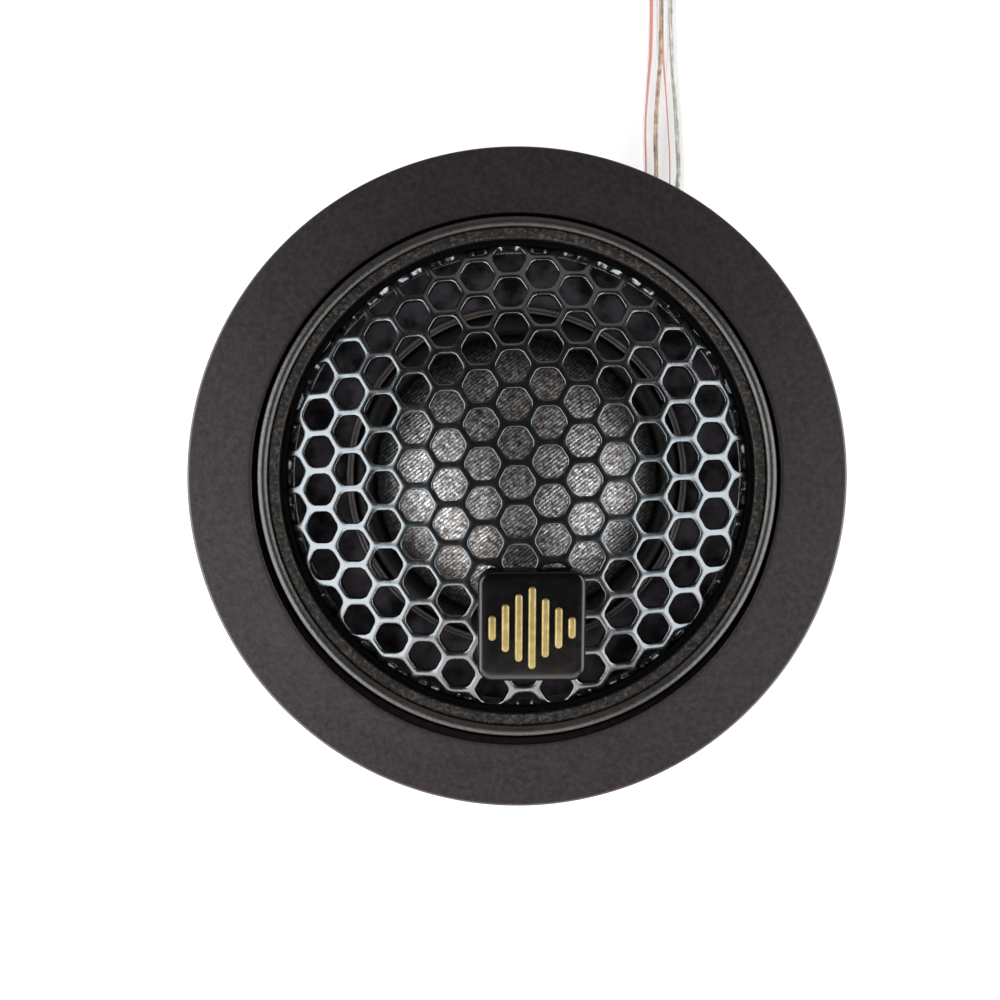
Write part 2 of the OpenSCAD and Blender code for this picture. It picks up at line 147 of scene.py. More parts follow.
def revolve_crown(name, section, segments=256, shape=None):
    """An open section of (r, z) points whose first and last points lie on the axis."""
    points = [(0, 0, section[0][1]), (0, 0, section[-1][1])]
    inner = section[1:-1]
    count = len(inner)
    for i in range(segments):
        angle = TAU * i / segments
        for r, z in inner:
            if shape:
                r, z = shape(r, z, angle)
            points.append((r * math.cos(angle), r * math.sin(angle), z))
    faces = []
    for i in range(segments):
        a, b = 2 + i * count, 2 + (i + 1) % segments * count
        faces.append((0, b, a))
        faces.append((1, a + count - 1, b + count - 1))
        for k in range(count - 1):
            faces.append((a + k, b + k, b + k + 1, a + k + 1))
    return add_mesh(name, points, faces)


def sharp_edges(piece, degrees=40):
    """Keeps edges that turn more than this many degrees crisp."""
    bm = bmesh.new()
    bm.from_mesh(piece.data)
    for edge in bm.edges:
        if len(edge.link_faces) == 2 and edge.calc_face_angle(0) > math.radians(degrees):
            edge.smooth = False
    bm.to_mesh(piece.data)
    bm.free()


# ---- materials ----

class Nodes:
    """A Principled material with short calls for the nodes that feed it."""

    def __init__(self, name, colour, roughness, metallic=0.0, **sockets):
        self.material = bpy.data.materials.new(name)
        self.material.use_nodes = True
        self.tree = self.material.node_tree
        self.shader = self.tree.nodes["Principled BSDF"]
        self.shader.inputs["Base Color"].default_value = (*colour, 1)
        self.shader.inputs["Roughness"].default_value = roughness
        self.shader.inputs["Metallic"].default_value = metallic
        for socket, value in sockets.items():
            self.shader.inputs[socket.replace("_", " ")].default_value = value
        self.place = self.tree.nodes.new("ShaderNodeTexCoord").outputs["Object"]
        self.last_bump = None

    def add(self, kind, **values):
        node = self.tree.nodes.new(kind)
        for key, value in values.items():
            if hasattr(node, key):
                setattr(node, key, value)
            else:
                node.inputs[key.replace("_", " ")].default_value = value
        return node

    def link(self, output, target):
        self.tree.links.new(output, target)

    def noise(self, size, detail=3.0, roughness=0.55, distortion=0.0):
        """Noise whose blobs are about size metres across."""
        node = self.add("ShaderNodeTexNoise", Scale=1 / size, Detail=detail, Distortion=distortion)
        node.inputs["Roughness"].default_value = roughness
        self.link(self.place, node.inputs["Vector"])
        return node.outputs["Fac"]

    def ramp(self, value, *stops):
        """A colour ramp through (position, colour or grey level) stops."""
        node = self.add("ShaderNodeValToRGB")
        elements = node.color_ramp.elements
        while len(elements) < len(stops):
            elements.new(0.5)
        for element, (position, colour) in zip(elements, stops):
            element.position = position
            element.color = (*colour, 1) if isinstance(colour, tuple) else (colour, colour, colour, 1)
        self.link(value, node.inputs["Fac"])
        return node.outputs["Color"]

    def tint(self, value, *stops):
        self.link(self.ramp(value, *stops), self.shader.inputs["Base Color"])

    def product(self, first, second):
        node = self.add("ShaderNodeMix", data_type="RGBA", blend_type="MULTIPLY")
        node.inputs["Factor"].default_value = 1.0
        self.link(first, node.inputs[6])
        self.link(second, node.inputs[7])
        return node.outputs[2]

    def from_axis(self, reach):
        """0 on the sound axis, 1 at this distance from it."""
        node = self.add("ShaderNodeVectorMath", operation="LENGTH")
        self.link(self.scaled_place((1 / reach, 1 / reach, 0)), node.inputs[0])
        return node.outputs["Value"]

    def vary_roughness(self, value, low, high):
        node = self.add("ShaderNodeMapRange")
        node.inputs["From Min"].default_value = 0.3
        node.inputs["From Max"].default_value = 0.7
        node.inputs["To Min"].default_value = low
        node.inputs["To Max"].default_value = high
        self.link(value, node.inputs["Value"])
        self.link(node.outputs["Result"], self.shader.inputs["Roughness"])

    def bump(self, height, depth, strength=1.0):
        """Adds relief of depth metres on top of any earlier bump."""
        node = self.add("ShaderNodeBump", Strength=strength, Distance=depth)
        self.link(height, node.inputs["Height"])
        if self.last_bump:
            self.link(self.last_bump, node.inputs["Normal"])
        self.last_bump = node.outputs["Normal"]
        self.link(self.last_bump, self.shader.inputs["Normal"])

    def scaled_place(self, scale, turn=0.0):
        """Object coordinates turned about the sound axis and scaled, for patterns with a direction."""
        node = self.add("ShaderNodeMapping")
        node.inputs["Rotation"].default_value = (0, 0, math.radians(turn))
        node.inputs["Scale"].default_value = scale
        self.link(self.place, node.inputs["Vector"])
        return node.outputs["Vector"]


def moulded_plastic(name, dark, light, roughness, grain, depth, cloud=9 * MM, spread=0.2, **sockets):
    """Matt moulded plastic: slow clouds of tone, fine grain in its relief and an uneven sheen."""
    n = Nodes(name, light, roughness, **sockets)
    n.tint(n.noise(cloud, 4), (0.5 - spread, dark), (0.5 + spread, light))
    n.vary_roughness(n.noise(2.2 * MM, 5), roughness - 0.05, roughness + 0.07)
    n.bump(n.noise(grain, 2, 0.6), depth)
    return n.material


def flange_plastic():
    n = Nodes("flange_plastic", (0.007, 0.0034, 0.0044), 0.4, Specular_IOR_Level=0.82,
              Specular_Tint=(1, 0.91, 0.93, 1))
    tone = n.ramp(n.noise(11 * MM, 4), (0.3, (0.004, 0.0016, 0.0023)), (0.5, (0.0049, 0.0021, 0.0028)),
                  (0.7, (0.006, 0.003, 0.0037)))
    grain = n.ramp(n.noise(0.45 * MM, 3, 0.7), (0.35, 0.4), (0.65, 1.0))
    n.link(n.product(tone, grain), n.shader.inputs["Base Color"])
    n.vary_roughness(n.noise(0.5 * MM, 4, 0.7), 0.35, 0.45)
    n.bump(n.noise(0.24 * MM, 2, 0.6), 0.007 * MM)
    n.bump(n.noise(4 * MM, 2), 0.015 * MM)
    return n.material


def bezel_plastic():
    """Coarse spark texture on the flat band inside the bead."""
    n = Nodes("bezel_plastic", (0.009, 0.0075, 0.006), 0.5, Specular_IOR_Level=0.33,
              Specular_Tint=(1, 0.94, 0.9, 1))
    n.tint(n.noise(0.35 * MM, 4, 0.7), (0.42, (0.0012, 0.001, 0.0009)), (0.52, (0.004, 0.0034, 0.003)),
           (0.62, (0.032, 0.027, 0.023)))
    n.vary_roughness(n.noise(0.8 * MM, 4), 0.42, 0.6)
    n.bump(n.noise(0.4 * MM, 2, 0.6), 0.12 * MM)
    return n.material


def bead_plastic():
    n = Nodes("bead_plastic", (0.012, 0.011, 0.0105), 0.3, Specular_IOR_Level=0.52,
              Specular_Tint=(1, 0.97, 0.94, 1))
    n.tint(n.noise(3 * MM, 4), (0.3, (0.009, 0.0083, 0.008)), (0.7, (0.014, 0.013, 0.0125)))
    n.vary_roughness(n.noise(0.5 * MM, 5), 0.26, 0.42)
    n.bump(n.noise(0.35 * MM, 2, 0.7), 0.03 * MM)
    return n.material


def grille_paint():
    """Satin paint over pressed steel, worn a little lighter in spots."""
    n = Nodes("grille_paint", (0.0016, 0.0017, 0.0018), 0.24, IOR=1.7, Specular_IOR_Level=0.72,
              Specular_Tint=(0.9, 0.96, 1, 1))
    n.tint(n.noise(1.6 * MM, 5, 0.65), (0.3, (0.0009, 0.001, 0.0011)), (0.55, (0.0015, 0.0016, 0.0018)),
           (0.75, (0.0032, 0.0034, 0.0036)))
    n.vary_roughness(n.noise(0.7 * MM, 4), 0.19, 0.28)
    n.bump(n.noise(0.18 * MM, 4, 0.7), 0.005 * MM)
    return n.material


# how finely the dome's threads lie: about three to the millimetre
THREAD_SCALE = 1080


def woven_silk():
    """Coated silk: two diagonal sets of threads, seen as fine ridges, with a soft metallic sheen."""
    n = Nodes("woven_silk", (0.24, 0.235, 0.235), 0.34, 0.76, Specular_IOR_Level=1.0)
    ridges = []
    for turn in (52, -38):
        wave = n.add("ShaderNodeTexWave", wave_type="BANDS", bands_direction="X",
                     Scale=1.0, Distortion=1.8, Detail=2.0)
        wave.inputs["Detail Scale"].default_value = 1.2
        n.link(n.scaled_place((THREAD_SCALE,) * 3, turn), wave.inputs["Vector"])
        ridges.append(wave.outputs["Fac"])
    cloth = n.ramp(n.noise(0.45 * MM, 4, 0.7), (0.36, (0.11, 0.08, 0.066)), (0.5, (0.41, 0.375, 0.35)),
                   (0.64, (0.92, 0.955, 1.0)))
    speckle = n.ramp(n.noise(0.2 * MM, 3, 0.75), (0.38, 0.2), (0.6, 1.0))
    threads = n.product(n.product(cloth, speckle), n.ramp(ridges[0], (0.15, 0.32), (0.6, 1.0)))
    # painted shade: the silk's colour is darkened towards the rim of the dome, standing in for the shade and
    # the dark reflections at its steep edge
    edge = n.ramp(n.from_axis(14 * MM), (0.62, 1.0), (0.84, 0.12))
    n.link(n.product(threads, edge), n.shader.inputs["Base Color"])
    n.vary_roughness(n.noise(0.6 * MM, 3), 0.28, 0.38)
    n.bump(ridges[0], 0.016 * MM)
    n.bump(ridges[1], 0.006 * MM)
    n.bump(n.noise(0.2 * MM, 3, 0.7), 0.044 * MM)
    return n.material


def doped_silk():
    n = Nodes("doped_silk", (0.003, 0.003, 0.0032), 0.5, Specular_IOR_Level=0.16)
    n.tint(n.noise(0.5 * MM, 4, 0.7), (0.3, (0.002, 0.002, 0.002)), (0.7, (0.006, 0.0056, 0.0055)))
    n.vary_roughness(n.noise(0.6 * MM, 4), 0.42, 0.6)
    n.bump(n.noise(0.25 * MM, 4, 0.7), 0.03 * MM)
    return n.material


def gloss_black():
    n = Nodes("gloss_black", (0.001, 0.001, 0.0011), 0.2, Specular_IOR_Level=0.32)
    n.tint(n.noise(6 * MM, 3), (0.3, (0.0006, 0.0006, 0.0007)), (0.7, (0.0016, 0.0016, 0.0017)))
    n.vary_roughness(n.noise(1.2 * MM, 4), 0.16, 0.24)
    n.bump(n.noise(2.5 * MM, 2), 0.01 * MM)
    return n.material


def gold_foil():
    n = Nodes("gold_foil", (0.25, 0.19, 0.07), 0.42, 0.6)
    n.tint(n.noise(0.9 * MM, 4, 0.6), (0.3, (0.18, 0.135, 0.045)), (0.55, (0.25, 0.19, 0.07)),
           (0.75, (0.34, 0.27, 0.12)))
    n.vary_roughness(n.noise(0.4 * MM, 4), 0.36, 0.5)
    n.bump(n.noise(0.12 * MM, 3, 0.7), 0.008 * MM)
    return n.material


def metal(name, dark, light, roughness, streak=0.25 * MM):
    n = Nodes(name, light, roughness, 1.0)
    n.tint(n.noise(streak, 4, 0.6), (0.3, dark), (0.7, light))
    n.vary_roughness(n.noise(0.5 * MM, 4), roughness - 0.06, roughness + 0.08)
    n.bump(n.noise(streak / 2, 3, 0.6), 0.01 * MM)
    return n.material


def soft(name, dark, light, grain, depth):
    """Foam, felt, rubber or paper: matt, with open texture."""
    n = Nodes(name, light, 0.85)
    n.tint(n.noise(grain * 2, 4, 0.7), (0.3, dark), (0.7, light))
    n.vary_roughness(n.noise(grain * 3, 3), 0.78, 0.95)
    n.bump(n.noise(grain, 4, 0.75), depth)
    return n.material


def clear_jacket():
    """Soft clear vinyl, a little milky, with faint draw lines."""
    n = Nodes("clear_jacket", (0.45, 0.42, 0.4), 0.2, Alpha=0.2, IOR=1.5)
    n.tint(n.noise(1.1 * MM, 4), (0.3, (0.36, 0.3, 0.27)), (0.55, (0.46, 0.43, 0.41)),
           (0.7, (0.56, 0.54, 0.52)))
    n.vary_roughness(n.noise(1.5 * MM, 4), 0.16, 0.3)
    n.bump(n.noise(1.2 * MM, 3), 0.02 * MM)
    return n.material


def strands(name, dark, light):
    """A bundle of fine bare wires, dulled in places."""
    n = Nodes(name, light, 0.4, 0.55)
    n.tint(n.noise(0.9 * MM, 4, 0.7), (0.36, dark), (0.6, light))
    n.vary_roughness(n.noise(0.3 * MM, 3), 0.28, 0.45)
    n.bump(n.noise(0.15 * MM, 3), 0.03 * MM)
    return n.material


def pale_floor():
    """A white light table: its own glow lifts the soft shadows."""
    n = Nodes("pale_floor", (0.28, 0.28, 0.28), 0.9, Emission_Color=(1, 1, 1, 1), Emission_Strength=0.76)
    n.tint(n.noise(0.2, 3), (0.3, (0.27, 0.27, 0.27)), (0.7, (0.29, 0.29, 0.29)))
    return n.material


# ---- the lead ----

LEAD_W = 3.8 * MM
LEAD_ROUTE = [
    (7.9, 13.7, 3.6), (9.3, 16.1, 3.6), (11.6, 20.1, 3.6), (12.9, 22.8, 3.2), (13.5, 25.8, 2.4),
    (13.6, 29.2, 1.5), (13.5, 33, 1), (13.5, 42, 0.95), (13.5, 51, 0.95), (13.5, 62, 0.95),
]
TAIL_ROUTE = [
    (-10.5, 90, 2.85), (-13, 90.4, 2.85), (-15.5, 91.2, 2.6), (-18, 92, 1.8), (-20.5, 92.8, 1.15),
    (-23.5, 93.7, 0.95),
]
COIL_R = 19.5 * MM
COIL_CENTRE = Vector((13.5 * MM - COIL_R - LEAD_W / 2, 68.5 * MM, 0))
OUTER_TURN = COIL_R + LEAD_W / 2
INNER_TURN = COIL_R - LEAD_W / 2
LOW_LAYER = LEAD_W / 4
HIGH_LAYER = LOW_LAYER + LEAD_W / 2
TURNS = 3.25


def ease(value, start, end):
    """0 before start, 1 after end, smooth between."""
    t = min(max((value - start) / (end - start), 0), 1)
    return t * t * (3 - 2 * t)


def coil_point(degrees):
    """The lead in its coil: out, in, up a layer over the inner turn, and out again on top."""
    radius = OUTER_TURN + (INNER_TURN - OUTER_TURN) * (ease(degrees, 300, 360) - ease(degrees, 1000, 1065))
    height = LOW_LAYER + (HIGH_LAYER - LOW_LAYER) * ease(degrees, 600, 655)
    angle = math.radians(degrees)
    return COIL_CENTRE + Vector((radius * math.cos(angle), radius * math.sin(angle), height))


def lead_centreline():
    straight = smooth([Vector(p) * MM for p in LEAD_ROUTE], 3)
    coil = [coil_point(d) for d in range(0, int(TURNS * 360) + 1, 6)]
    tail = smooth([Vector(p) * MM for p in TAIL_ROUTE], 2)
    return straight + coil + tail


def smooth(route, steps):
    """Catmull-Rom points along a route."""
    made = []
    last = len(route) - 1
    for i in range(last):
        a, b, c, d = route[max(i - 1, 0)], route[i], route[i + 1], route[min(i + 2, last)]
        for k in range(steps):
            t = k / steps
            made.append(0.5 * (2 * b + (c - a) * t + (2 * a - 5 * b + 4 * c - d) * t * t
                               + (3 * b - a - 3 * c + d) * t ** 3))
    made.append(route[last])
    return made


def lead_roll(point):
    """The flat lead rolls partly on its edge in the middle of its straight run."""
    y = point.y / MM
    return math.radians(66) * (ease(y, 28, 41) - ease(y, 47, 58)) if point.x > 0.008 else 0.0


def lead_frames(line):
    """For each point of the line: the point, the direction across the flat lead and the one out of it."""
    frames = []
    for i, point in enumerate(line):
        along = (line[min(i + 1, len(line) - 1)] - line[max(i - 1, 0)]).normalized()
        across = along.cross(Vector((0, 0, 1))).normalized()
        turned = Matrix.Rotation(lead_roll(point), 3, along)
        lift = Vector((0, 0, LEAD_W / 4 * math.sin(lead_roll(point))))
        frames.append((point + lift, turned @ across, turned @ across.cross(along)))
    return frames


def sweep(name, frames, section):
    """A closed tube of the section's (across, out) points along the frames."""
    points = [p + across * u + out * v for p, across, out in frames for u, v in section]
    faces = []
    add_tube_faces(faces, 0, len(frames), len(section))
    return add_mesh(name, points, faces)


def figure_eight():
    """The section of a twin lead: two round lobes that meet in a narrow web."""
    lobe, steps = LEAD_W / 4, 10
    points = []
    for side in (1, -1):
        for i in range(steps + 1):
            a = math.radians(-150 + 300 * i / steps)
            points.append((side * (lobe + lobe * math.cos(a)), side * lobe * math.sin(a)))
    return points


def build_lead(materials):
    line = lead_centreline()
    frames = lead_frames(line)
    jacket = sweep("lead_jacket", frames, figure_eight())
    finish_piece(jacket, "tweeter", "clear_jacket", materials["jacket"],
                 "lead_tube", "lead_coil", "lead_tail")
    copper = build_core("lead_core_copper", frames, -1, 0.25)
    tinned = build_core("lead_core_tinned", frames, 1, 0.4)
    inside = [
        finish_piece(copper, "tweeter", "copper", materials["copper_strands"]),
        finish_piece(tinned, "tweeter", "copper", materials["tinned_strands"]),
        finish_piece(build_tracers(frames), "tweeter", "wire_insulation", materials["red_tracer"]),
    ]
    ends = build_stripped_ends(frames[-1], line[-1] - line[-2], materials)
    tie = build_coil_tie(materials["strap"])


def inside_lobe(frame_at, side, shift):
    """A point in one lobe of the lead: shift is sideways from the lobe's middle, in lobe radii."""
    point, across = frame_at[:2]
    level = Vector((across.x, across.y, 0)).normalized()
    return point + (across * side + level * shift) * LEAD_W / 4


def build_core(name, frames, side, shift):
    """A core of thin strands inside one lobe, twisted together and wandering a little."""
    verts, faces = [], []
    strand_r, lay_r, wander = 0.09 * MM, 0.14 * MM, 0.05 * MM
    strands_in_core, sides = 5, 5
    for strand in range(strands_in_core):
        base = len(verts)
        turn = TAU * strand / strands_in_core
        for i, frame_at in enumerate(frames):
            across, out = frame_at[1:]
            a = turn + i * 0.5
            drift = wander * (math.sin(i * 0.37 + strand * 2.1) + math.sin(i * 0.83 + strand * 4.3))
            centre = (inside_lobe(frame_at, side, shift) + across * (lay_r * math.cos(a) + drift)
                      + out * lay_r * math.sin(a))
            for k in range(sides):
                b = TAU * k / sides
                verts.append(centre + (across * math.cos(b) + out * math.sin(b)) * strand_r)
        add_tube_faces(faces, base, len(frames), sides)
    return add_mesh(name, verts, faces)


def add_tube_faces(faces, base, rings, sides):
    """The walls and the two ends of a tube whose rings start at vertex base."""
    for i in range(rings - 1):
        for k in range(sides):
            m = (k + 1) % sides
            a, b = base + i * sides, base + (i + 1) * sides
            faces.append((a + k, b + k, b + m, a + m))
    faces.append(tuple(base + k for k in range(sides)))
    faces.append(tuple(base + (rings - 1) * sides + k for k in range(sides)))


def build_tracers(frames):
    """Two coloured threads moulded into the jacket: one along the outer edge, a finer one inside."""
    verts, faces = [], []
    sides = 6
    for side, shift, radius in ((-1, -0.72, 0.16 * MM), (1, -0.4, 0.11 * MM)):
        base = len(verts)
        for frame_at in frames:
            point, across, out = frame_at
            # the threads are drawn thin where the lead lies flat near the housing
            thick = radius * (0.55 + 0.45 * ease(point.y / MM, 33, 40))
            centre = inside_lobe(frame_at, side, shift)
            for k in range(sides):
                b = TAU * k / sides
                verts.append(centre + (across * math.cos(b) + out * math.sin(b)) * thick)
        add_tube_faces(faces, base, len(frames), sides)
    return add_mesh("lead_tracer", verts, faces)


def build_stripped_ends(frame_at_end, along, materials):
    """Two tinned tips, slightly splayed: each is six wires twisted round a seventh."""
    point, across, out = frame_at_end
    along = along.normalized()
    verts, faces = [], []
    length, wire_r, bundle_r = 5 * MM, 0.15 * MM, 0.27 * MM
    rings, sides, outer_wires = 14, 6, 6
    for side in (-1, 1):
        for strand in range(outer_wires + 1):
            base = len(verts)
            radius = bundle_r if strand < outer_wires else 0
            for i in range(rings):
                t = i / (rings - 1)
                a = TAU * strand / outer_wires + t * 2.4
                centre = (point + along * (length * t - 0.4 * MM)
                          + across * side * (LEAD_W / 4 + 0.25 * MM * t)
                          + across * radius * math.cos(a) + out * radius * math.sin(a))
                size = wire_r * (1 - 0.35 * ease(t, 0.85, 1))
                for k in range(sides):
                    b = TAU * k / sides
                    verts.append(centre + across * size * math.cos(b) + out * size * math.sin(b))
            add_tube_faces(faces, base, rings, sides)
    tips = add_mesh("lead_tinned_tips", verts, faces)
    return finish_piece(tips, "tweeter", "tinned_copper", materials["tinned_strands"], "stripped_ends")


def build_coil_tie(material):
    """A fabric strap round the coil, where all four of its strands lie, with its end lapped on top."""
    angle, half_w, thick = math.radians(40), 2.6 * MM, 0.45 * MM
    away = Vector((math.cos(angle), math.sin(angle), 0))
    low, high = thick, LEAD_W + 0.06 * MM
    corner = 6
    outline = rounded_rectangle(2 * LEAD_W + 0.12 * MM, high - low, LEAD_W / 4, corner - 1)
    loop = [(u, z + (low + high) / 2) for u, z in outline]
    lapped = [(1.4 * MM, high + thick), (-2.6 * MM, high + thick)]
    path = [(0.8 * MM, high)] + loop[corner:] + loop[:corner] + lapped
    frames = []
    for i, (u, z) in enumerate(path):
        before, after = path[max(i - 1, 0)], path[min(i + 1, len(path) - 1)]
        step = Vector((after[0] - before[0], after[1] - before[1])).normalized()
        frames.append((
            COIL_CENTRE + away * (COIL_R + u) + Vector((0, 0, z)), Vector((-away.y, away.x, 0)),
            away * step.y + Vector((0, 0, -step.x)),
        ))
    edge = 0.1 * MM
    strap = sweep("lead_tie", frames, [
        (edge - half_w, 0), (half_w - edge, 0), (half_w, edge), (half_w, thick - edge),
        (half_w - edge, thick), (edge - half_w, thick), (-half_w, thick - edge), (-half_w, edge),
    ])
    sharp_edges(strap, 50)
    return finish_piece(strap, "tweeter", "nylon", material)


def build_grommet(material):
    """A ribbed rubber boot round the lead where it leaves the housing."""
    start, end = Vector(LEAD_ROUTE[1]) * MM, Vector(LEAD_ROUTE[2]) * MM
    along = (end - start).normalized()
    across = along.cross(Vector((0, 0, 1))).normalized()
    out = across.cross(along)
    # distance along the lead from the housing's wall, half width and half height
    profile = [
        (-2.6, 2.65, 1.55), (0.02, 2.65, 1.55), (0.06, 3.4, 2.3), (0.2, 3.5, 2.4), (0.95, 3.5, 2.4),
        (1.1, 3.35, 2.25), (1.14, 2.7, 1.7), (1.4, 2.7, 1.7), (1.46, 2.9, 1.95), (1.8, 2.88, 1.9),
        (1.86, 2.5, 1.5), (2.1, 2.48, 1.48), (2.16, 2.7, 1.7), (2.5, 2.6, 1.6), (2.56, 2.3, 1.3),
        (2.9, 2.2, 1.2), (3.0, 2.0, 1.0),
    ]
    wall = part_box("rear_housing")[1].x - 1.6 * MM
    centre = Vector((along.x, along.y, 0)) * wall + Vector((0, 0, start.z))
    sides = 32
    verts = []
    for distance, half_w, half_h in profile:
        for k in range(sides):
            a = TAU * k / sides
            flat = half_w - half_h
            u = (flat if math.cos(a) > 0 else -flat) + half_h * math.cos(a)
            verts.append(centre + along * distance * MM + across * u * MM + out * half_h * math.sin(a) * MM)
    faces = []
    add_tube_faces(faces, 0, len(profile), sides)
    boot = add_mesh("lead_boot", verts, faces)
    sharp_edges(boot, 50)
    finish_piece(boot, "tweeter", "grommet_rubber", material, "lead_grommet")


# ---- grille ----

PITCH = 3.44 * MM
WEB = 0.66 * MM
SHEET_T = 0.6 * MM
SPHERE_R = 41 * MM
RIM_R = 20.35 * MM
SHOULDER_R = 0.8 * MM
FOOT_T = 0.6 * MM
PATTERN_TURN = math.radians(2)
PATTERN_OFFSET = Vector((0, -0.6)) * MM
SPHERE_Z = GRILLE_TOP - SPHERE_R
SHOULDER_AT = RIM_R - SHOULDER_R
RIM_ANGLE = math.asin(SHOULDER_AT / (SPHERE_R - SHOULDER_R))
SHOULDER_Z = SPHERE_Z + (SPHERE_R - SHOULDER_R) * math.cos(RIM_ANGLE)


def grille_surface(distance):
    """Where a point of the flat sheet this far from its middle comes to lie: r, z and its normal's tilt."""
    on_sphere = SPHERE_R * RIM_ANGLE
    on_shoulder = SHOULDER_R * (math.pi / 2 - RIM_ANGLE)
    if distance < on_sphere:
        tilt = distance / SPHERE_R
        return SPHERE_R * math.sin(tilt), SPHERE_Z + SPHERE_R * math.cos(tilt), tilt
    if distance < on_sphere + on_shoulder:
        tilt = RIM_ANGLE + (distance - on_sphere) / SHOULDER_R
        return SHOULDER_AT + SHOULDER_R * math.sin(tilt), SHOULDER_Z + SHOULDER_R * math.cos(tilt), tilt
    return RIM_R, SHOULDER_Z - (distance - on_sphere - on_shoulder), math.pi / 2


# the sheet runs over the dome and its shoulder and 2 mm down the side, where the skirt takes it up
SHEET_EDGE = SPHERE_R * RIM_ANGLE + SHOULDER_R * (math.pi / 2 - RIM_ANGLE) + 2.0 * MM


def on_grille(x, y, height):
    """A point of the flat sheet, height above its face, carried onto the domed grille."""
    distance = math.hypot(x, y)
    if distance < 1e-9:
        return Vector((0, 0, GRILLE_TOP + height))
    r, z, tilt = grille_surface(distance)
    r += height * math.sin(tilt)
    z += height * math.cos(tilt)
    return Vector((x / distance * r, y / distance * r, z))


def rounded_hexagon(across_flats, corner, per_side):
    """Points round a hexagon with a vertex on +X, its corners pulled in by a radius."""
    side_r = across_flats / 2 / math.cos(math.pi / 6)
    points = []
    for s in range(6):
        for k in range(per_side):
            a = TAU * s / 6
            b = TAU * (s + 1) / 6
            t = k / per_side
            start, end = Vector((math.cos(a), math.sin(a))), Vector((math.cos(b), math.sin(b)))
            straight = (start * (1 - t) + end * t) * side_r
            limit = side_r - corner * (1 / math.cos(math.pi / 6) - 1)
            length = straight.length
            points.append(straight * (min(length, limit) / length))
    return points


def build_grille(material):
    """The perforated sheet, cell by cell: each hole has rounded lips on both faces and a wall between."""
    per_side = 6
    lip, corner = 0.1 * MM, 0.8 * MM
    hole = PITCH - WEB
    border = rounded_hexagon(PITCH, 0, per_side)
    levels = [
        (border, 0.01 * MM),
        (rounded_hexagon(hole + 2.0 * lip, corner, per_side), 0.0),
        (rounded_hexagon(hole + 1.1 * lip, corner, per_side), -0.025 * MM),
        (rounded_hexagon(hole + 0.4 * lip, corner, per_side), -0.07 * MM),
        (rounded_hexagon(hole, corner, per_side), -0.15 * MM),
        (rounded_hexagon(hole, corner, per_side), 0.1 * MM - SHEET_T),
        (rounded_hexagon(hole + 1.4 * lip, corner, per_side), -SHEET_T),
        (border, -SHEET_T),
    ]
    count = per_side * 6
    cos_t, sin_t = math.cos(PATTERN_TURN), math.sin(PATTERN_TURN)
    verts, faces = [], []
    # more columns and rows than the sheet holds: the cells past its edge are skipped
    columns, rows = 10, 15
    for i in range(-columns, columns + 1):
        for k in range(-rows, rows + 1):
            flat = Vector((i * PITCH * math.cos(math.pi / 6), (k + i / 2) * PITCH))
            if (flat + PATTERN_OFFSET).length > SHEET_EDGE + PITCH * 0.7:
                continue
            base = len(verts)
            for outline, height in levels:
                for p in outline:
                    q = flat + p
                    x = q.x * cos_t - q.y * sin_t + PATTERN_OFFSET.x
                    y = q.x * sin_t + q.y * cos_t + PATTERN_OFFSET.y
                    verts.append(on_grille(x, y, height))
            for row in range(len(levels) - 1):
                for m in range(count):
                    a = base + row * count
                    b = a + count
                    faces.append((a + m, a + (m + 1) % count, b + (m + 1) % count, b + m))
    sheet = bpy.data.meshes.new("grille_sheet")
    sheet.from_pydata([tuple(v) for v in verts], [], faces)
    bm = bmesh.new()
    bm.from_mesh(sheet)
    bmesh.ops.remove_doubles(bm, verts=bm.verts, dist=0.004 * MM)
    # cut level along its lower edge and closed there
    edge_z = grille_surface(SHEET_EDGE)[1]
    cut = bmesh.ops.bisect_plane(bm, geom=bm.verts[:] + bm.edges[:] + bm.faces[:], dist=0.002 * MM,
                                 plane_co=(0, 0, edge_z), plane_no=(0, 0, 1), clear_inner=True)
    lower_edges = [e for e in cut["geom_cut"] if isinstance(e, bmesh.types.BMEdge)]
    bmesh.ops.triangle_fill(bm, edges=lower_edges, normal=(0, 0, -1), use_beauty=True)
    bmesh.ops.recalc_face_normals(bm, faces=bm.faces)
    bm.to_mesh(sheet)
    bm.free()
    sheet.shade_smooth()
    piece = bpy.data.objects.new("grille_sheet", sheet)
    bpy.context.collection.objects.link(piece)
    finish_piece(piece, "tweeter", "grille_steel", material, "grille")
    build_grille_skirt(material)


def build_grille_skirt(material):
    """The plain ring that the sheet's edge stands in, with the flange it is held by."""
    foot_top = GRILLE_FOOT_Z + FOOT_T
    skirt_top = SHOULDER_Z - 1.9 * MM
    inner = RIM_R - SHEET_T
    ring = revolve("grille_skirt", [
        (inner, GRILLE_FOOT_Z), (GRILLE_FOOT_R, GRILLE_FOOT_Z), (GRILLE_FOOT_R, foot_top),
        (RIM_R + 0.1 * MM, foot_top), (RIM_R + 0.02 * MM, foot_top + 0.08 * MM),
        (RIM_R + 0.02 * MM, skirt_top), (inner - 0.02 * MM, skirt_top - 0.5 * MM),
    ], 192)
    sharp_edges(ring)
    finish_piece(ring, "tweeter", "grille_steel", material)


# ---- badge ----

BADGE_AT = Vector((1.26, -12.9)) * MM
BADGE_W, BADGE_L, BADGE_T = 9.4 * MM, 10.1 * MM, 1.0 * MM
BAR_HEIGHTS = [0.3, 0.58, 0.82, 1, 0.72, 0.5, 0.26]
BAR_W, BAR_PITCH, BAR_TALLEST = 0.66 * MM, 1.16 * MM, 7.6 * MM


